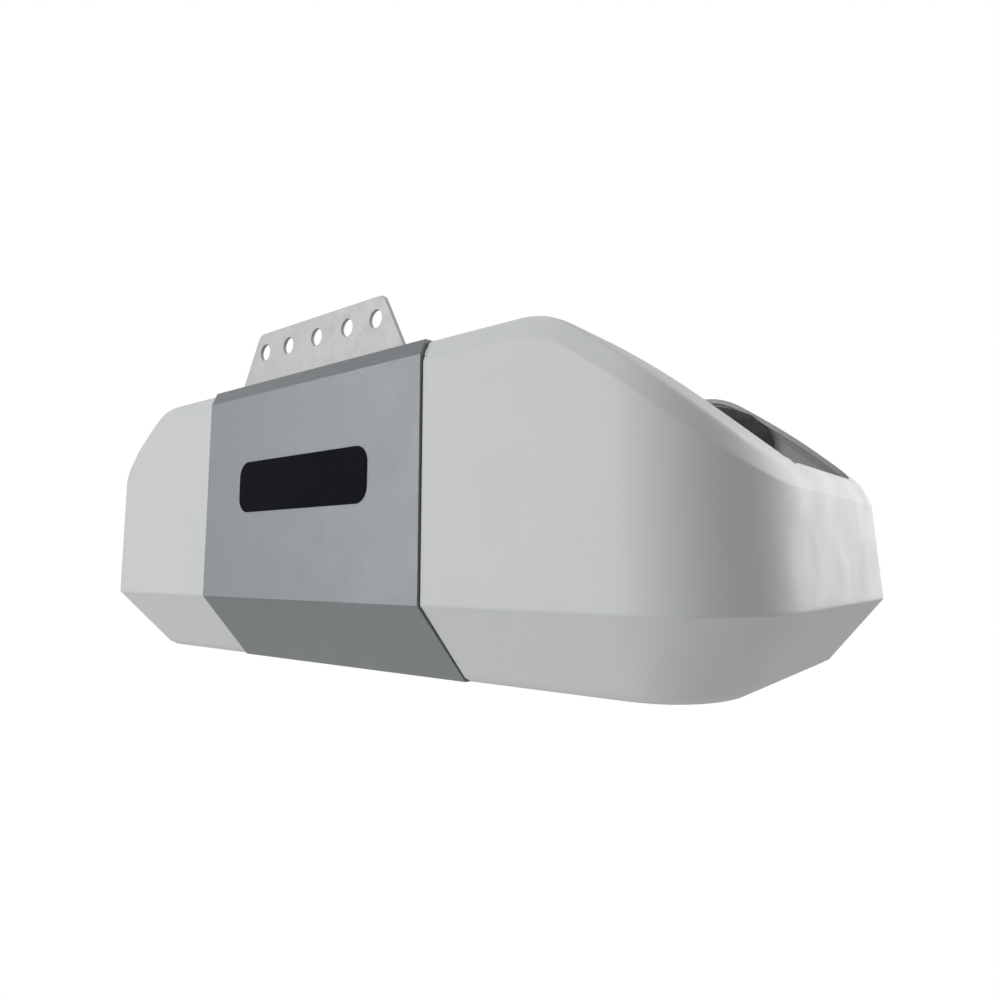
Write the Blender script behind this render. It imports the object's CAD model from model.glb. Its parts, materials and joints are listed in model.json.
"""The looks of the garage door opener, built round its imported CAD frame.

Shapes are written in millimetres in the unit's own shaping frame: X to the right of the
middle, Y back from the front face, Z up from the crease line of the covers. at() turns
such a point into the row frame, which is placed by the centre cover's own box.
"""

import json
import math

import bmesh
import bpy
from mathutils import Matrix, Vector


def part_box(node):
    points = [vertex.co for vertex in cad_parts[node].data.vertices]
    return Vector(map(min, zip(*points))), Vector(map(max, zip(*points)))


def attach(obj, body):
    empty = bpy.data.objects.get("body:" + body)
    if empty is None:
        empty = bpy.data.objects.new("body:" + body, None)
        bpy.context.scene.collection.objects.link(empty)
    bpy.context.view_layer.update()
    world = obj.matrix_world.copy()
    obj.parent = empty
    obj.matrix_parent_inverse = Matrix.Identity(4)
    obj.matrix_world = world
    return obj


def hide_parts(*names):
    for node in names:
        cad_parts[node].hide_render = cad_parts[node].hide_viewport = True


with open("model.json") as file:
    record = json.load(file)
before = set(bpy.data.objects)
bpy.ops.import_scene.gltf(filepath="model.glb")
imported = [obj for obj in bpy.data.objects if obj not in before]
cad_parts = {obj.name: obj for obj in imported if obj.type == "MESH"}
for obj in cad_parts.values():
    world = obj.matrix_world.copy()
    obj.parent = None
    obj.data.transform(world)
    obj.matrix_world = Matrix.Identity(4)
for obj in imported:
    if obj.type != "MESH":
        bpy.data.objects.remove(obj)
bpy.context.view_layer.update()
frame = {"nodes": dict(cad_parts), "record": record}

# ---------------------------------------------------------------- sizes, in millimetres
MM = 0.001
CHIN_H = 34.0
COVER_LOW, COVER_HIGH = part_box("centre_cover")
FRONT = COVER_LOW.y
BELT = COVER_LOW.z + CHIN_H * MM
ROOF_Z = (COVER_HIGH.z - BELT) / MM
COVER_HALF = COVER_HIGH.x / MM
DEPTH = 212.0

WALL = 2.6
INNER_X = 89.8
WING_CORNER = ((186.0, 1.1), (218.0, 1.1), (234.9, 25.4), (229.5, 65.0))
WING_REAR_X = 209.6
WING_LEAN = 1.8
WING_REAR_LEAN = 8.0
LEAN_H = 120.0
CHIN_CORNER = ((172.0, 30.0), (192.0, 30.0), (204.6, 46.3), (200.5, 72.0))
CHIN_REAR_X = 178.4
LIP = 0.9
REAR_R = 5.0
CHIN_REAR_R = 4.0
ROOF_FLAT_END = 143.0
KNEE_R = 43.0
KNEE = math.radians(32.0)
SLOPE_R = 430.0
ROOF_SKEW = 0.1425
WINDOW_FRONT_Y = 45.0
WINDOW_INNER_X = 98.0
WINDOW_REAR_Y = 206.5
WINDOW_CORNER = ((190, 45), (215, 45), (226.2, 57), (222.5, 78))
WINDOW_TAIL = ((204.5, 182), (202, 198), (196, 206.5), (180, 206.5))
RIM = 1.5                   # least roof left between the edge band and the window
HINGE_X = 94.0
HINGE_Z = -31.5
HINGE_CUT_X = HINGE_X + 2.9
HINGE_CUT_Y = (40.0, DEPTH - 8)
KNUCKLE_R = 2.5
PIN_HOLE_R = 1.26
LEAF_LAP = 0.2              # how far a knuckle's leaf runs into the cover's floor
LENS_KNUCKLES = ((62.0, 84.0), (114.0, 136.0), (166.0, 188.0))
CHIN_FLOOR = -CHIN_H
TAB_X = 79.0
TABS_Y = (18.0, 172.0)
TAB_W = 18.0
TAB_Z = (112.2, 114.4)
TAB_ROOT = 6.0              # how far a tab runs in under the cover's roof
TAB_HOOK_W = 2.0
TAB_HOOK_H = 2.6

HANGER_HOLE_R = 4.5
HANGER_HOLE_Z = 134.6
HANGER_HOLES_X = (-47.9, -25.5, 0.0, 25.5, 47.9)
HANGER_TOP_Z = 145.6
HANGER_TOP_HALF = 53.4
HANGER_KNEE_Z = 116.5
HANGER_KNEE_HALF = 69.5
HANGER_FOOT_Z = 70.0
HANGER_FOOT_HALF = 58.0
HANGER_WAIST_Z = 104.0
HANGER_BOLT_X = 40.0
HANGER_BOLT_Z = (80.0, 98.0)
HANGER_BOLT_R = 3.3
NOTCH_HALF = 19.0           # the rear hanger's notch, where the rail passes
NOTCH_Z = 106.0

PLATE_ROUND = 0.3
HANGER_ROUND = 0.35
KNUCKLE_ROUND = 0.25
COVER_ROUND = 0.5


def at(x, y, z):
    """A point of the shaping frame, in the row frame, in metres."""
    return Vector((x * MM, FRONT + y * MM, BELT + z * MM))


# ---------------------------------------------------------------- camera, light and floor
CAMERA_AT = (352.9, -240.0, 17.05)
CAMERA_TURN = 42.1
CAMERA_RISE = 7.74
CAMERA_LENS = 29.97
CAMERA_SENSOR = 36.0
CAMERA_SHIFT = -0.048
LIGHT_AIM_Z = 40
FILL_STRENGTH = 0.345
FLOOR_BELOW = 1.2
FLOOR_R = 1.9
FLOOR_STEPS = 96


def make_camera():
    data = bpy.data.cameras.new("camera")
    data.lens = CAMERA_LENS
    data.sensor_width = CAMERA_SENSOR
    data.shift_y = CAMERA_SHIFT
    camera = bpy.data.objects.new("camera", data)
    camera.location = at(*CAMERA_AT)
    camera.rotation_euler = (math.radians(90 + CAMERA_RISE), 0, math.radians(CAMERA_TURN))
    bpy.context.scene.collection.objects.link(camera)
    bpy.context.scene.camera = camera


def softbox(name, turn, rise, distance, width, height, power):
    """A soft area light; turn is its bearing from -Y towards +X, rise its elevation."""
    data = bpy.data.lights.new(name, "AREA")
    data.shape = "RECTANGLE"
    data.size = width
    data.size_y = height
    data.energy = power
    a, e = math.radians(turn), math.radians(rise)
    back = Vector((math.sin(a) * math.cos(e), -math.cos(a) * math.cos(e), math.sin(e)))
    light = bpy.data.objects.new(name, data)
    light.location = at(0, DEPTH / 2, LIGHT_AIM_Z) + back * distance
    light.rotation_euler = back.to_track_quat("Z", "Y").to_euler()
    bpy.context.scene.collection.objects.link(light)


def make_light():
    softbox("front_left_softbox", turn=-30, rise=7, distance=1.9, width=1.5, height=1.5,
            power=21.8)
    softbox("rear_right_softbox", turn=157, rise=16, distance=1.7, width=1.0, height=1.3,
            power=16.0)
    softbox("top_fill", turn=0, rise=88, distance=2.2, width=2.0, height=2.0, power=20.0)
    world = bpy.data.worlds.new("studio")
    bpy.context.scene.world = world
    world.use_nodes = True
    nodes, links = world.node_tree.nodes, world.node_tree.links
    nodes.clear()
    out = nodes.new("ShaderNodeOutputWorld")
    seen = nodes.new("ShaderNodeBackground")
    seen.inputs["Color"].default_value = (1, 1, 1, 1)
    fill = nodes.new("ShaderNodeBackground")
    fill.inputs["Color"].default_value = (0.97, 0.99, 1.0, 1)
    fill.inputs["Strength"].default_value = FILL_STRENGTH
    ray = nodes.new("ShaderNodeLightPath")
    mix = nodes.new("ShaderNodeMixShader")
    links.new(ray.outputs["Is Camera Ray"], mix.inputs["Fac"])
    links.new(fill.outputs[0], mix.inputs[1])
    links.new(seen.outputs[0], mix.inputs[2])
    links.new(mix.outputs[0], out.inputs["Surface"])
    bpy.context.scene.view_settings.view_transform = "Standard"


def make_floor():
    """A plain pale disc well below the hanging unit."""
    ring = [(FLOOR_R * math.cos(2 * math.pi * i / FLOOR_STEPS),
             FLOOR_R * math.sin(2 * math.pi * i / FLOOR_STEPS), 0)
            for i in range(FLOOR_STEPS)]
    mesh = bpy.data.meshes.new("floor")
    mesh.from_pydata(ring, [], [list(range(FLOOR_STEPS))])
    floor = bpy.data.objects.new("floor", mesh)
    floor.location = at(0, DEPTH / 2, 0) - Vector((0, 0, FLOOR_BELOW))
    floor.data.materials.append(finish("floor_paint", (0.86, 0.86, 0.85), rough=(0.8, 0.9),
                                       grain=(60, 0.1, 0.001)))
    bpy.context.scene.collection.objects.link(floor)


# ---------------------------------------------------------------- materials
NOISE_RANGE = (0.3, 0.7)    # where nearly all of a noise texture's values lie
COAT_ROUGH = 0.12
SOFT_DEPTH = (0.004, 0.004, 0.004)
ROUGH_PATCH = 9             # roughness varies this much more finely than colour
RIDGE_STRENGTH = 0.8


def finish(name, color, rough=(0.4, 0.5), metallic=0.0, grain=None, blotch=(8.0, 0.04),
           stretch=(1, 1, 1), coat=0.0, specular=0.5, bands=None, cells=None, glow=0.0,
           through=0.0, soft=0.0):
    """A procedural finish. blotch is slow colour variation (per metre, amount), grain the
    fine surface relief (per metre, strength, depth), stretch pulls both along an axis,
    bands are fine parallel ridges (axis, width of one ridge, depth) and cells a spangle
    (per metre, amount)."""
    material = bpy.data.materials.new(name)
    material.use_nodes = True
    nodes, links = material.node_tree.nodes, material.node_tree.links
    shader = nodes["Principled BSDF"]
    shader.inputs["Metallic"].default_value = metallic
    shader.inputs["Coat Weight"].default_value = coat
    shader.inputs["Coat Roughness"].default_value = COAT_ROUGH
    shader.inputs["Specular IOR Level"].default_value = specular
    shader.inputs["Transmission Weight"].default_value = through
    if soft:
        shader.inputs["Subsurface Weight"].default_value = soft
        shader.inputs["Subsurface Radius"].default_value = SOFT_DEPTH
    if glow:
        shader.inputs["Emission Strength"].default_value = glow
        shader.inputs["Emission Color"].default_value = (*color, 1)
    place = nodes.new("ShaderNodeTexCoord")
    spread = nodes.new("ShaderNodeMapping")
    spread.inputs["Scale"].default_value = stretch
    links.new(place.outputs["Object"], spread.inputs["Vector"])

    def noise(scale, detail):
        node = nodes.new("ShaderNodeTexNoise")
        node.inputs["Scale"].default_value = scale
        node.inputs["Detail"].default_value = detail
        links.new(spread.outputs["Vector"], node.inputs["Vector"])
        return node.outputs["Fac"]

    def scaled(value, low, high):
        node = nodes.new("ShaderNodeMapRange")
        node.inputs["From Min"].default_value = NOISE_RANGE[0]
        node.inputs["From Max"].default_value = NOISE_RANGE[1]
        node.inputs["To Min"].default_value = low
        node.inputs["To Max"].default_value = high
        links.new(value, node.inputs["Value"])
        return node.outputs["Result"]

    shade = scaled(noise(blotch[0], 3.0), 1 - blotch[1], 1 + blotch[1])
    if cells:
        spangle = nodes.new("ShaderNodeTexVoronoi")
        spangle.inputs["Scale"].default_value = cells[0]
        links.new(spread.outputs["Vector"], spangle.inputs["Vector"])
        split = nodes.new("ShaderNodeSeparateColor")
        links.new(spangle.outputs["Color"], split.inputs["Color"])
        tone = nodes.new("ShaderNodeMapRange")
        tone.inputs["To Min"].default_value = 1 - cells[1]
        tone.inputs["To Max"].default_value = 1 + cells[1]
        links.new(split.outputs["Red"], tone.inputs["Value"])
        both = nodes.new("ShaderNodeMath")
        both.operation = "MULTIPLY"
        links.new(shade, both.inputs[0])
        links.new(tone.outputs["Result"], both.inputs[1])
        shade = both.outputs["Value"]
    paint = nodes.new("ShaderNodeVectorMath")
    paint.operation = "SCALE"
    paint.inputs[0].default_value = color
    links.new(shade, paint.inputs["Scale"])
    links.new(paint.outputs["Vector"], shader.inputs["Base Color"])
    links.new(scaled(noise(blotch[0] * ROUGH_PATCH, 4.0), *rough),
              shader.inputs["Roughness"])
    normal = None
    if grain:
        bump = nodes.new("ShaderNodeBump")
        bump.inputs["Strength"].default_value = grain[1]
        bump.inputs["Distance"].default_value = grain[2]
        links.new(noise(grain[0], 5.0), bump.inputs["Height"])
        normal = bump.outputs["Normal"]
    if bands:
        wave = nodes.new("ShaderNodeTexWave")
        wave.bands_direction = bands[0]
        # at scale 1 a ridge and its groove take pi / 10 metres
        wave.inputs["Scale"].default_value = math.pi / (20 * bands[1] * MM)
        links.new(place.outputs["Object"], wave.inputs["Vector"])
        ridge = nodes.new("ShaderNodeBump")
        ridge.inputs["Strength"].default_value = RIDGE_STRENGTH
        ridge.inputs["Distance"].default_value = bands[2] * MM
        links.new(wave.outputs["Fac"], ridge.inputs["Height"])
        if normal:
            links.new(normal, ridge.inputs["Normal"])
        normal = ridge.outputs["Normal"]
    if normal:
        links.new(normal, shader.inputs["Normal"])
    return material


SLOTS = {
    "cover_grey": dict(color=(0.235, 0.247, 0.254), rough=(0.42, 0.5), metallic=0.4,
                       grain=(2600, 0.12, 0.0002), blotch=(5, 0.02), cells=(2200, 0.05)),
    "lens_plastic": dict(color=(0.60, 0.61, 0.612), rough=(0.46, 0.54), specular=0.4,
                         grain=(1800, 0.05, 0.0002), blotch=(6, 0.012)),
    "chassis_steel": dict(color=(0.50, 0.51, 0.52), rough=(0.3, 0.45), metallic=0.9,
                          grain=(700, 0.08, 0.0002), cells=(140, 0.10)),
    "panel_black": dict(color=(0.018, 0.022, 0.024), rough=(0.35, 0.5),
                        grain=(1500, 0.2, 0.0002), blotch=(20, 0.15)),
    "hanger_steel": dict(color=(0.46, 0.457, 0.445), rough=(0.42, 0.56), metallic=0.35,
                         grain=(900, 0.06, 0.0002), cells=(170, 0.025), blotch=(14, 0.02)),
    "fastener_steel": dict(color=(0.52, 0.52, 0.5), rough=(0.25, 0.4), metallic=1.0,
                           grain=(1400, 0.15, 0.0002), blotch=(90, 0.1)),
    "spring_steel": dict(color=(0.36, 0.36, 0.37), rough=(0.25, 0.4), metallic=1.0,
                         grain=(900, 0.1, 0.0002), blotch=(60, 0.1), stretch=(1, 0.1, 1)),
    "shaft_steel": dict(color=(0.62, 0.62, 0.62), rough=(0.15, 0.3), metallic=1.0,
                        grain=(1500, 0.1, 0.0001), blotch=(80, 0.06), stretch=(1, 1, 4)),
    "sprocket_steel": dict(color=(0.15, 0.145, 0.14), rough=(0.25, 0.5), metallic=0.9,
                           grain=(500, 0.3, 0.0003), blotch=(60, 0.2)),
    "badge_black": dict(color=(0.004, 0.005, 0.007), rough=(0.6, 0.68), specular=0.04,
                        grain=(900, 0.03, 0.0002), blotch=(30, 0.1)),
    "guard_black": dict(color=(0.022, 0.023, 0.025), rough=(0.5, 0.65),
                        grain=(1100, 0.35, 0.0004), blotch=(30, 0.12)),
    "gear_nylon": dict(color=(0.78, 0.765, 0.69), rough=(0.35, 0.5),
                       grain=(900, 0.1, 0.0002), blotch=(40, 0.04), soft=0.15),
    "bronze": dict(color=(0.48, 0.30, 0.13), rough=(0.3, 0.5), metallic=1.0,
                   grain=(1800, 0.3, 0.0002), blotch=(90, 0.12)),
    "gearbox_alloy": dict(color=(0.5, 0.51, 0.52), rough=(0.4, 0.6), metallic=0.9,
                          grain=(520, 0.35, 0.0004), blotch=(50, 0.08)),
    "isolator_rubber": dict(color=(0.016, 0.016, 0.016), rough=(0.7, 0.85),
                            grain=(1200, 0.3, 0.0003), blotch=(60, 0.15)),
    "motor_steel": dict(color=(0.34, 0.35, 0.36), rough=(0.25, 0.4), metallic=1.0,
                        grain=(600, 0.12, 0.0002), blotch=(40, 0.08), stretch=(1, 1, 0.15)),
    "carbon": dict(color=(0.022, 0.022, 0.022), rough=(0.55, 0.7),
                   grain=(2200, 0.3, 0.0002), blotch=(120, 0.2)),
    "ferrite": dict(color=(0.045, 0.045, 0.05), rough=(0.5, 0.65),
                    grain=(900, 0.3, 0.0003), blotch=(60, 0.15)),
    "lamination_iron": dict(color=(0.20, 0.19, 0.18), rough=(0.4, 0.55), metallic=0.7,
                            grain=(800, 0.1, 0.0002), blotch=(50, 0.12),
                            bands=("Z", 0.9, 0.25)),
    "copper_wire": dict(color=(0.60, 0.22, 0.08), rough=(0.25, 0.4), metallic=0.8,
                        grain=(900, 0.1, 0.0002), blotch=(70, 0.1), bands=("Z", 1.1, 0.5)),
    "component_black": dict(color=(0.028, 0.028, 0.03), rough=(0.4, 0.55),
                            grain=(1500, 0.2, 0.0002), blotch=(70, 0.15)),
    "board_green": dict(color=(0.015, 0.14, 0.05), rough=(0.25, 0.35),
                        grain=(500, 0.1, 0.0002), cells=(260, 0.22), coat=0.2),
    "heat_sink_alloy": dict(color=(0.62, 0.62, 0.64), rough=(0.3, 0.45), metallic=1.0,
                            grain=(900, 0.12, 0.0002), blotch=(50, 0.06),
                            stretch=(1, 0.1, 1)),
    "bezel_grey": dict(color=(0.13, 0.135, 0.14), rough=(0.5, 0.62),
                       grain=(1300, 0.3, 0.0003), blotch=(40, 0.08)),
    "status_light": dict(color=(0.9, 0.5, 0.08), rough=(0.1, 0.2), through=0.5, glow=0.15,
                         grain=(500, 0.05, 0.0002)),
    "brass_screw": dict(color=(0.62, 0.44, 0.18), rough=(0.2, 0.35), metallic=1.0,
                        grain=(1400, 0.12, 0.0002), blotch=(120, 0.1)),
    "key_black": dict(color=(0.022, 0.022, 0.024), rough=(0.3, 0.4),
                      grain=(1400, 0.15, 0.0002), blotch=(90, 0.15)),
    "key_yellow": dict(color=(0.82, 0.50, 0.02), rough=(0.3, 0.4),
                       grain=(1400, 0.15, 0.0002), blotch=(90, 0.05)),
    "reflector_white": dict(color=(0.85, 0.85, 0.84), rough=(0.2, 0.3), coat=0.3,
                            grain=(300, 0.05, 0.0002), blotch=(20, 0.02)),
    "socket_plastic": dict(color=(0.72, 0.70, 0.66), rough=(0.35, 0.5),
                           grain=(1200, 0.12, 0.0002), blotch=(50, 0.05)),
    "bulb_metal": dict(color=(0.68, 0.67, 0.65), rough=(0.2, 0.35), metallic=1.0,
                       grain=(900, 0.1, 0.0002), blotch=(80, 0.08)),
    "bulb_glass": dict(color=(0.88, 0.88, 0.86), rough=(0.22, 0.3), soft=0.25, coat=0.3,
                       grain=(700, 0.03, 0.0002), blotch=(20, 0.015)),
}
MATERIALS = {}


def slot_material(name):
    if name not in MATERIALS:
        MATERIALS[name] = finish(name, **SLOTS[name])
    return MATERIALS[name]


# ---------------------------------------------------------------- mesh helpers
def piece(name, points, faces, body, slot, replaces=(), side=1):
    """A mesh from shaping-frame points; side -1 mirrors it to the left."""
    mesh = bpy.data.meshes.new(name)
    mesh.from_pydata([at(side * x, y, z) for x, y, z in points], [],
                     [face if side > 0 else face[::-1] for face in faces])
    turn_outward(mesh)
    return show(name, mesh, body, slot, replaces)


def show(name, mesh, body, slot, replaces=()):
    """Put a mesh in the scene with its finish, its body and the CAD nodes it stands for."""
    made = bpy.data.objects.new(name, mesh)
    bpy.context.scene.collection.objects.link(made)
    mesh.materials.append(slot_material(slot))
    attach(made, body)
    if replaces:
        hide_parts(*replaces)
    return made


def turn_outward(mesh):
    """Smooth shading, with every face's normal out of the solid."""
    shape = bmesh.new()
    shape.from_mesh(mesh)
    bmesh.ops.recalc_face_normals(shape, faces=shape.faces)
    for face in shape.faces:
        face.smooth = True
    shape.to_mesh(mesh)
    shape.free()


def soften(made, width, angle=40.0):
    """Small rounds on the sharp edges, and clean shading."""
    bevel = made.modifiers.new("rounds", "BEVEL")
    bevel.width = width * MM
    bevel.segments = 2
    bevel.limit_method = "ANGLE"
    bevel.angle_limit = math.radians(angle)
    bevel.use_clamp_overlap = True
    even = made.modifiers.new("even_shading", "WEIGHTED_NORMAL")
    even.keep_sharp = True


def blend_points(a, b, t):
    return tuple(p + (q - p) * t for p, q in zip(a, b))


def quads(rows):
    """Points and faces of a sheet through rows of points of equal length."""
    width = len(rows[0])
    points = [point for row in rows for point in row]
    faces = []
    for low in range(0, (len(rows) - 1) * width, width):
        for k in range(low, low + width - 1):
            faces.append((k, k + 1, k + 1 + width, k + width))
    return points, faces


def arc(x, z, radius, start, end, steps):
    """Points of an arc across Y, angles in degrees."""
    return [(x + radius * math.cos(math.radians(start + (end - start) * i / steps)),
             z + radius * math.sin(math.radians(start + (end - start) * i / steps)))
            for i in range(steps + 1)]


def rounded(corners, steps=6):
    """A closed outline from (x, z, radius) corners, with each corner rounded."""
    outline = []
    count = len(corners)
    for i, (x, z, radius) in enumerate(corners):
        if not radius:
            outline.append((x, z))
            continue
        ends = []
        for nx, nz, _ in (corners[i - 1], corners[(i + 1) % count]):
            run = math.hypot(nx - x, nz - z)
            ends.append(((nx - x) / run, (nz - z) / run))
        between = ends[0][0] * ends[1][0] + ends[0][1] * ends[1][1]
        half = math.acos(max(-1, min(1, between))) / 2
        reach = radius / math.tan(half)
        a, b = [(x + dx * reach, z + dz * reach) for dx, dz in ends]
        mid = ((ends[0][0] + ends[1][0]), (ends[0][1] + ends[1][1]))
        run = math.hypot(*mid)
        away = radius / math.sin(half)
        cx, cz = x + mid[0] / run * away, z + mid[1] / run * away
        start = math.atan2(a[1] - cz, a[0] - cx)
        sweep = (math.atan2(b[1] - cz, b[0] - cx) - start + math.pi) % (2 * math.pi) - math.pi
        outline += [(cx + radius * math.cos(start + sweep * k / steps),
                     cz + radius * math.sin(start + sweep * k / steps))
                    for k in range(steps + 1)]
    return outline


def grown(outline, gap):
    """A closed outline moved outwards by gap, or inwards if gap is negative."""
    count = len(outline)
    area = sum(outline[i - 1][0] * outline[i][1] - outline[i][0] * outline[i - 1][1]
               for i in range(count))
    gap *= 1 if area > 0 else -1
    moved = []
    for i in range(count):
        (ax, az), (bx, bz), (cx, cz) = outline[i - 1], outline[i], outline[(i + 1) % count]
        one, two = math.hypot(bx - ax, bz - az), math.hypot(cx - bx, cz - bz)
        n = ((bz - az) / one, -(bx - ax) / one)
        m = ((cz - bz) / two, -(cx - bx) / two)
        share = gap / max(0.3, 1 + n[0] * m[0] + n[1] * m[1])
        moved.append((bx + (n[0] + m[0]) * share, bz + (n[1] + m[1]) * share))
    return moved


def plate(name, outline, holes, y0, y1, body, slot, replaces=(), edge=PLATE_ROUND):
    """A flat plate across Y with softly rounded edges and holes."""
    shape = bmesh.new()
    rings = []
    for index, loop in enumerate([outline] + holes):
        grow = -1 if index == 0 else 1
        rows = []
        for gap, y in ((edge, y0), (edge * 0.3, y0 + edge * 0.3), (0, y0 + edge),
                       (0, y1 - edge), (edge * 0.3, y1 - edge * 0.3), (edge, y1)):
            rows.append([shape.verts.new(at(x, y, z)) for x, z in grown(loop, grow * gap)])
        for a, b in zip(rows, rows[1:]):
            for i in range(len(a)):
                j = (i + 1) % len(a)
                shape.faces.new((a[i], a[j], b[j], b[i]))
        rings.append(rows)
    for side in (0, -1):
        edges = []
        for rows in rings:
            ring = rows[side]
            edges += [shape.edges.get((ring[i - 1], ring[i])) for i in range(len(ring))]
        bmesh.ops.triangle_fill(shape, use_beauty=True, use_dissolve=False, edges=edges)
    bmesh.ops.recalc_face_normals(shape, faces=shape.faces)
    for face in shape.faces:
        face.smooth = len(face.verts) == 4
    mesh = bpy.data.meshes.new(name)
    shape.to_mesh(mesh)
    shape.free()
    return show(name, mesh, body, slot, replaces)


def circle(x, z, radius, steps=32):
    return arc(x, z, radius, 0, 360, steps)[:-1]


# ---------------------------------------------------------------- light covers
def bezier(control, t):
    a, b, c, d = control
    s = 1 - t
    return tuple(s * s * s * a[i] + 3 * s * s * t * b[i] + 3 * s * t * t * c[i]
                 + t * t * t * d[i] for i in (0, 1))


# points along each stretch of a cover's plan, in order
FRONT_STEPS = 30
CORNER_STEPS = 30
END_STEPS = 16
REAR_ROUND_STEPS = 5
REAR_STEPS = 20


def plan_path(corner, rear_x, rear_r, lean, rear_lean):
    """Plan of a cover from its inner front, round the corner, to its inner rear."""
    moved = [corner[0], (corner[1][0] - lean / 2, corner[1][1]),
             (corner[2][0] - lean, corner[2][1]), (corner[3][0] - lean, corner[3][1])]
    start, end = moved[0], moved[3]
    rear = (rear_x - rear_lean, DEPTH)
    run = math.hypot(rear[0] - end[0], rear[1] - end[1])
    along = ((rear[0] - end[0]) / run, (rear[1] - end[1]) / run)
    path = [(INNER_X + (start[0] - INNER_X) * i / FRONT_STEPS, start[1])
            for i in range(FRONT_STEPS)]
    path += [bezier(moved, i / CORNER_STEPS) for i in range(CORNER_STEPS)]
    turn = (rear[0] - along[0] * rear_r, rear[1] - along[1] * rear_r)
    path += [(end[0] + (turn[0] - end[0]) * i / END_STEPS,
              end[1] + (turn[1] - end[1]) * i / END_STEPS) for i in range(END_STEPS)]
    leave = (rear[0] - rear_r, DEPTH)
    for i in range(REAR_ROUND_STEPS):
        t = i / REAR_ROUND_STEPS
        s = 1 - t
        path.append(tuple(s * s * turn[k] + 2 * s * t * rear[k] + t * t * leave[k]
                          for k in (0, 1)))
    path += [(leave[0] + (INNER_X - leave[0]) * i / REAR_STEPS, DEPTH)
             for i in range(REAR_STEPS + 1)]
    return path


def outward(path):
    """Unit normals of an open plan path that runs with its outside on the right."""
    normals = []
    last = len(path) - 1
    for i in range(last + 1):
        (ax, ay), (bx, by) = path[max(0, i - 1)], path[min(last, i + 1)]
        run = math.hypot(bx - ax, by - ay)
        normals.append(((by - ay) / run, -(bx - ax) / run))
    return normals


BELT_PATH = plan_path(WING_CORNER, WING_REAR_X, REAR_R, 0, 0)
TOP_PATH = plan_path(WING_CORNER, WING_REAR_X, REAR_R, WING_LEAN, WING_REAR_LEAN)
CHIN_PATH = plan_path(CHIN_CORNER, CHIN_REAR_X, CHIN_REAR_R, 0, 0)
OUT = outward(BELT_PATH)
CHIN_OUT = outward(CHIN_PATH)


def roof_height(x, y):
    """Height of the roof line over a plan point: flat, knee, then a long falling curve."""
    u = x + ROOF_SKEW * y
    if u <= ROOF_FLAT_END:
        return ROOF_Z
    knee_run = KNEE_R * math.sin(KNEE)
    if u <= ROOF_FLAT_END + knee_run:
        return ROOF_Z - KNEE_R + math.sqrt(KNEE_R ** 2 - (u - ROOF_FLAT_END) ** 2)
    rise = math.sin(KNEE) + (u - ROOF_FLAT_END - knee_run) / SLOPE_R
    return (ROOF_Z - KNEE_R * (1 - math.cos(KNEE))
            - SLOPE_R * (math.cos(KNEE) - math.sqrt(1 - rise * rise)))


# inward distance from the wall, and drop below the roof line, across the edge band
EDGE = ((0.0, 10.8), (0.1, 10.2), (0.34, 9.5), (1.2, 7.3), (2.1, 5.0), (2.8, 3.1),
        (3.1, 2.3), (3.7, 1.45), (4.7, 0.8), (6.2, 0.35), (8.2, 0.1), (10.8, 0.0))
EDGE_IN = EDGE[-1][0]
BAND_FALL = 0.36            # how much lower the band is where it has run its fall
BAND_FALL_START = 38        # the plan point where that begins
BAND_FALL_RUN = 24

# share of the chin, wall and roof at which each of their rows lies
CHIN_ROWS = (0.06, 0.12, 0.3, 0.5, 0.7, 0.88, 0.95, 0.985)
WALL_ROWS = (0.04, 0.15, 0.3, 0.45, 0.6, 0.75, 0.9)
ROOF_SHARES = (0.12, 0.28, 0.45, 0.62, 0.8, 0.93, 1.0)


def wall_point(i, z, inward=0.0):
    x, y = blend_points(BELT_PATH[i], TOP_PATH[i], z / LEAN_H)
    return (x - OUT[i][0] * inward, y - OUT[i][1] * inward, z)


def band_height(i):
    """The edge band is lower on the end wall, where the roof falls towards it."""
    return 1.0 - BAND_FALL * min(1.0, max(0.0, (i - BAND_FALL_START) / BAND_FALL_RUN))


def edge_point(i, inward, drop):
    """The point that far in from the wall and below the roof line; the wall leans with
    its height, so a few rounds settle it."""
    z = ROOF_Z
    for _ in range(4):
        x, y, _ = wall_point(i, z, inward)
        z = roof_height(x, y) - drop
    return wall_point(i, z, inward)


def edge_drop(inward):
    """Drop of the outer surface below the roof line, that far in from the wall."""
    for (a, high), (b, low) in zip(EDGE, EDGE[1:]):
        if inward <= b:
            return high + (low - high) * (inward - a) / (b - a)
    return 0.0


WINDOW_SIDE_STEPS = 12


def window_path():
    """Roof points round the lamp window, one for each point of the cover's plan."""
    last = len(BELT_PATH) - 1
    turn = FRONT_STEPS
    side = turn + CORNER_STEPS
    tail = side + WINDOW_SIDE_STEPS
    rear = tail + WINDOW_SIDE_STEPS
    front_x, rear_x = WINDOW_CORNER[0][0], WINDOW_TAIL[3][0]
    marks = []
    for i in range(last + 1):
        if i <= turn:
            t = i / turn
            marks.append((WINDOW_INNER_X + (front_x - WINDOW_INNER_X) * t, WINDOW_FRONT_Y))
        elif i <= side:
            marks.append(bezier(WINDOW_CORNER, (i - turn) / CORNER_STEPS))
        elif i <= tail:
            marks.append(blend_points(WINDOW_CORNER[3], WINDOW_TAIL[0],
                                      (i - side) / WINDOW_SIDE_STEPS))
        elif i <= rear:
            marks.append(bezier(WINDOW_TAIL, (i - tail) / WINDOW_SIDE_STEPS))
        else:
            t = (i - rear) / (last - rear)
            marks.append((rear_x + (WINDOW_INNER_X - rear_x) * t, WINDOW_REAR_Y))
    return marks


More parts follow.
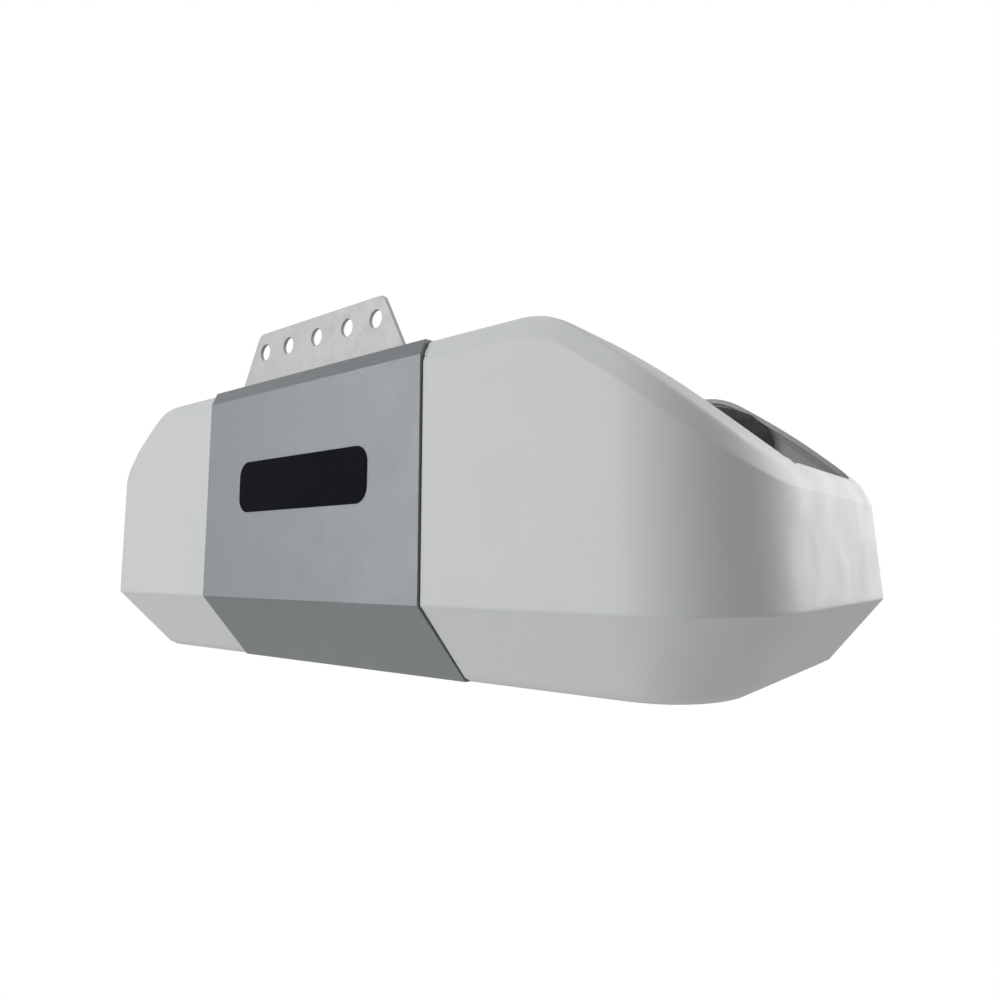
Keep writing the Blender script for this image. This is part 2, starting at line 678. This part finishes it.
RIM_AT = 0.6                # height, as a share of the roof's, where the room is measured
LEAST_REACH = 7             # neighbours on each side in the least distance
MEAN_REACH = 6              # and in the mean that smooths it


def around(values, i, reach):
    """A value and its neighbours, as many as reach on each side."""
    return values[max(0, i - reach):i + reach + 1]


def rim_room(window):
    """How far in from each wall point the edge band may reach, and the window's distance."""
    wall_top = [wall_point(i, ROOF_Z * RIM_AT)[:2] for i in range(len(BELT_PATH))]
    far = [min(math.dist(mark, point) for point in wall_top) for mark in window]
    near = [min(EDGE_IN, min(around(far, i, LEAST_REACH)) - RIM) for i in range(len(far))]
    room = []
    for i in range(len(near)):
        close = around(near, i, MEAN_REACH)
        room.append(sum(close) / len(close))
    return room, far


def slope_drop(x, y, thickness):
    """How far below the roof line a skin of that thickness has its inner face."""
    rise = (roof_height(x - 1, y) - roof_height(x + 1, y)) / 2
    return thickness * math.hypot(1, rise)


def lens_rows(inside):
    """Rows of points from the floor's edge, up the chin and wall, over to the window.
    The inner face has a row for each row of the outer one."""
    count = len(BELT_PATH)
    wall = WALL if inside else 0.0
    floor_z = CHIN_FLOOR + wall
    floor_rows = (((7.0, floor_z), (5.0, floor_z), (4.0, floor_z), (3.4, floor_z + 0.1))
                  if inside else ((6.0, floor_z), (3.0, floor_z), (1.5, -33.75), (0.6, -33.1)))
    rows = []
    for inward, z in floor_rows:
        rows.append([(x - nx * inward, y - ny * inward, z)
                     for (x, y), (nx, ny) in zip(CHIN_PATH, CHIN_OUT)])
    chin_low = [(x - nx * wall * 1.1, y - ny * wall * 1.1, floor_z)
                for (x, y), (nx, ny) in zip(CHIN_PATH, CHIN_OUT)]
    chin_top = [wall_point(i, -0.75, LIP + wall * 1.1) for i in range(count)]
    for t in CHIN_ROWS:
        rows.append([blend_points(chin_low[i], chin_top[i], t) for i in range(count)])
    for z, inward in ((-0.55, 0.62), (-0.2, 0.2), (0.5, 0.02), (1.6, 0.0)):
        rows.append([wall_point(i, z, max(inward, 0.35 * wall) + wall * 0.65 if inside
                                else inward) for i in range(count)])
    window = window_path()
    room, far = rim_room(window)

    def band(i, inward):
        """A point of the edge band, squeezed where the window comes near the wall."""
        squeezed = inward * room[i] / EDGE_IN
        drop = edge_drop(squeezed) * band_height(i)
        if inside:
            return edge_point(i, wall + inward * (room[i] - wall) / EDGE_IN, wall + drop * 0.8)
        return edge_point(i, squeezed, drop)

    wall_top = [band(i, 0.0) for i in range(count)]
    for t in WALL_ROWS:
        rows.append([wall_point(i, 1.6 + (wall_top[i][2] - 1.6) * t, wall)
                     for i in range(count)])
    for inward, _ in EDGE:
        rows.append([band(i, inward) for i in range(count)])
    roof_edge = rows[-1]
    for t in ROOF_SHARES:
        row = []
        for i in range(count):
            x, y = blend_points(roof_edge[i][:2], window[i], t)
            drop = edge_drop(room[i] + (far[i] - room[i]) * t) * band_height(i)
            if inside:
                drop = slope_drop(x, y, wall) + drop * 0.8
            row.append((x, y, roof_height(x, y) - drop))
        rows.append(row)
    return rows


ROOF_ROWS = len(ROOF_SHARES) + 1        # the last rows of a cover's skin lie on its roof
STRIP_STEPS = 12


def lens_skin(inside, start):
    """One face of the cover: its points, faces, open edge and window edge, as indices."""
    rows = lens_rows(inside)
    wide = len(rows[0])
    points, faces = quads(rows)
    first = [r * wide for r in range(len(rows))]
    last = [r * wide + wide - 1 for r in range(len(rows))]
    z = rows[0][0][2]
    floor_cut = []
    for x, y in ((INNER_X, HINGE_CUT_Y[1]), (HINGE_CUT_X, HINGE_CUT_Y[1]),
                 (HINGE_CUT_X, HINGE_CUT_Y[0]), (INNER_X, HINGE_CUT_Y[0])):
        floor_cut.append(len(points))
        points.append((x, y, z))
    faces.append(tuple(list(range(wide))[::-1] + floor_cut[::-1]))
    roof_z = rows[-1][0][2]
    front_y, rear_y = rows[-1][0][1], rows[-1][-1][1]
    edge, rim = [first[-ROOF_ROWS]], [first[-1]]
    for i in range(1, STRIP_STEPS):
        y = front_y + (rear_y - front_y) * i / STRIP_STEPS
        edge.append(len(points))
        points.append((INNER_X, y, roof_z))
        rim.append(len(points))
        points.append((WINDOW_INNER_X, y, roof_z))
    edge.append(last[-ROOF_ROWS])
    rim.append(last[-1])
    faces.append((*first[-ROOF_ROWS:], rim[1], edge[1]))
    for i in range(1, STRIP_STEPS - 1):
        faces.append((edge[i], rim[i], rim[i + 1], edge[i + 1]))
    faces.append((edge[-2], rim[-2], *last[-ROOF_ROWS:][::-1]))
    open_edge = (floor_cut + first[:-ROOF_ROWS] + edge + last[:-ROOF_ROWS][::-1])
    window_edge = [r for r in range(first[-1], last[-1] + 1)] + rim[1:-1][::-1]
    shift = [tuple(k + start for k in face) for face in faces]
    return (points, shift, [k + start for k in open_edge], [k + start for k in window_edge])


def stitch(outer, inner):
    """Faces between two closed loops of the same length."""
    count = len(outer)
    return [(outer[i], outer[(i + 1) % count], inner[(i + 1) % count], inner[i])
            for i in range(count)]


def lens_shell():
    """The light cover as a closed shell, open to the chassis and through its roof."""
    points, faces, open_edge, window_edge = lens_skin(False, 0)
    more, inner_faces, inner_edge, inner_window = lens_skin(True, len(points))
    faces += [face[::-1] for face in inner_faces]
    faces += stitch(open_edge, inner_edge) + stitch(window_edge, inner_window)
    return points + more, faces


def light_covers():
    for side, body, word in ((1, "right_lens", "right"), (-1, "left_lens", "left")):
        points, faces = lens_shell()
        shell = piece(f"{word}_light_cover", points, faces, body, "lens_plastic",
                      replaces=[f"{word}_lens_cover"], side=side)
        soften(shell, COVER_ROUND, angle=50)


def knuckles_and_tabs():
    """The hinge knuckles under each cover and the release tabs over the deck."""
    root, hook = INNER_X + TAB_ROOT, TAB_X + TAB_HOOK_W
    hook_z = TAB_Z[1] + TAB_HOOK_H
    profile = rounded([(TAB_X, TAB_Z[0], 0.8), (root, TAB_Z[0], 0), (root, TAB_Z[1], 0),
                       (hook, TAB_Z[1], 0.4), (hook, hook_z, 0.6), (TAB_X, hook_z, 0.6)],
                      steps=4)
    for side, body, word in ((1, "right_lens", "right"), (-1, "left_lens", "left")):
        for n, (low, high) in enumerate(LENS_KNUCKLES):
            leaf_end = HINGE_CUT_X + LEAF_LAP
            leaf = [(leaf_end, CHIN_FLOOR), (leaf_end, CHIN_FLOOR + WALL),
                    (HINGE_X + KNUCKLE_R * 0.95, CHIN_FLOOR + WALL)]
            outline = ([(side * x, z) for x, z in
                        arc(HINGE_X, HINGE_Z, KNUCKLE_R, 5, 270, 22) + leaf])
            pin = [(side * x, z) for x, z in circle(HINGE_X, HINGE_Z, PIN_HOLE_R, 20)]
            plate(f"{word}_knuckle_{n}", outline, [pin], low, high, body, "lens_plastic",
                  edge=KNUCKLE_ROUND)
        for n, low in enumerate(TABS_Y):
            plate(f"{word}_release_tab_{n}", [(side * x, z) for x, z in profile], [], low,
                  low + TAB_W, body, "lens_plastic")


# ---------------------------------------------------------------- hangers and badge
def hangers():
    """The flat steel hangers, with their rows of strap holes."""
    half = [(HANGER_FOOT_HALF, HANGER_FOOT_Z, 1.0), (HANGER_FOOT_HALF, HANGER_WAIST_Z, 2.0),
            (HANGER_KNEE_HALF, HANGER_KNEE_Z, 1.5), (HANGER_TOP_HALF, HANGER_TOP_Z, 5.0)]
    other = [(-x, z, r) for x, z, r in reversed(half)]
    notch = [(-NOTCH_HALF, HANGER_TOP_Z, 0), (-NOTCH_HALF, NOTCH_Z, 0),
             (NOTCH_HALF, NOTCH_Z, 0), (NOTCH_HALF, HANGER_TOP_Z, 0)]
    bolt_holes = [(x, z) for x in (-HANGER_BOLT_X, HANGER_BOLT_X) for z in HANGER_BOLT_Z]
    for word in ("front", "rear"):
        low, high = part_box(f"{word}_hanger_bracket")
        y0, y1 = (low.y - FRONT) / MM, (high.y - FRONT) / MM
        corners = half + (notch[::-1] if word == "rear" else []) + other
        holes = [circle(x, HANGER_HOLE_Z, HANGER_HOLE_R) for x in HANGER_HOLES_X
                 if word == "front" or abs(x) > NOTCH_HALF]
        holes += [circle(x, z, HANGER_BOLT_R, 20) for x, z in bolt_holes]
        plate(f"{word}_hanger", rounded(corners), holes, y0, y1, "chassis", "hanger_steel",
              replaces=[f"{word}_hanger_bracket"], edge=HANGER_ROUND)


# ---------------------------------------------------------------- CAD nodes that stay
ROUNDS = {"centre_cover": 0.3}
USUAL_ROUND = 0.25
WELD_GAP = 0.01
FLAT_ANGLE = 0.2            # degrees; flatter neighbours are joined before the rounds


def dress_frame():
    """Give every CAD node its finish, and round its sharp edges."""
    slots = {part["node"]: part["material_slot"] for part in frame["record"]["subparts"]}
    for node, made in frame["nodes"].items():
        made.data.materials.clear()
        made.data.materials.append(slot_material(slots[node]))
        if not made.hide_render:
            weld = made.modifiers.new("weld", "WELD")
            weld.merge_threshold = WELD_GAP * MM
            flat = made.modifiers.new("flat_faces", "DECIMATE")
            flat.decimate_type = "DISSOLVE"
            flat.angle_limit = math.radians(FLAT_ANGLE)
            soften(made, ROUNDS.get(node, USUAL_ROUND))


make_camera()
make_light()
make_floor()
light_covers()
knuckles_and_tabs()
hangers()
dress_frame()
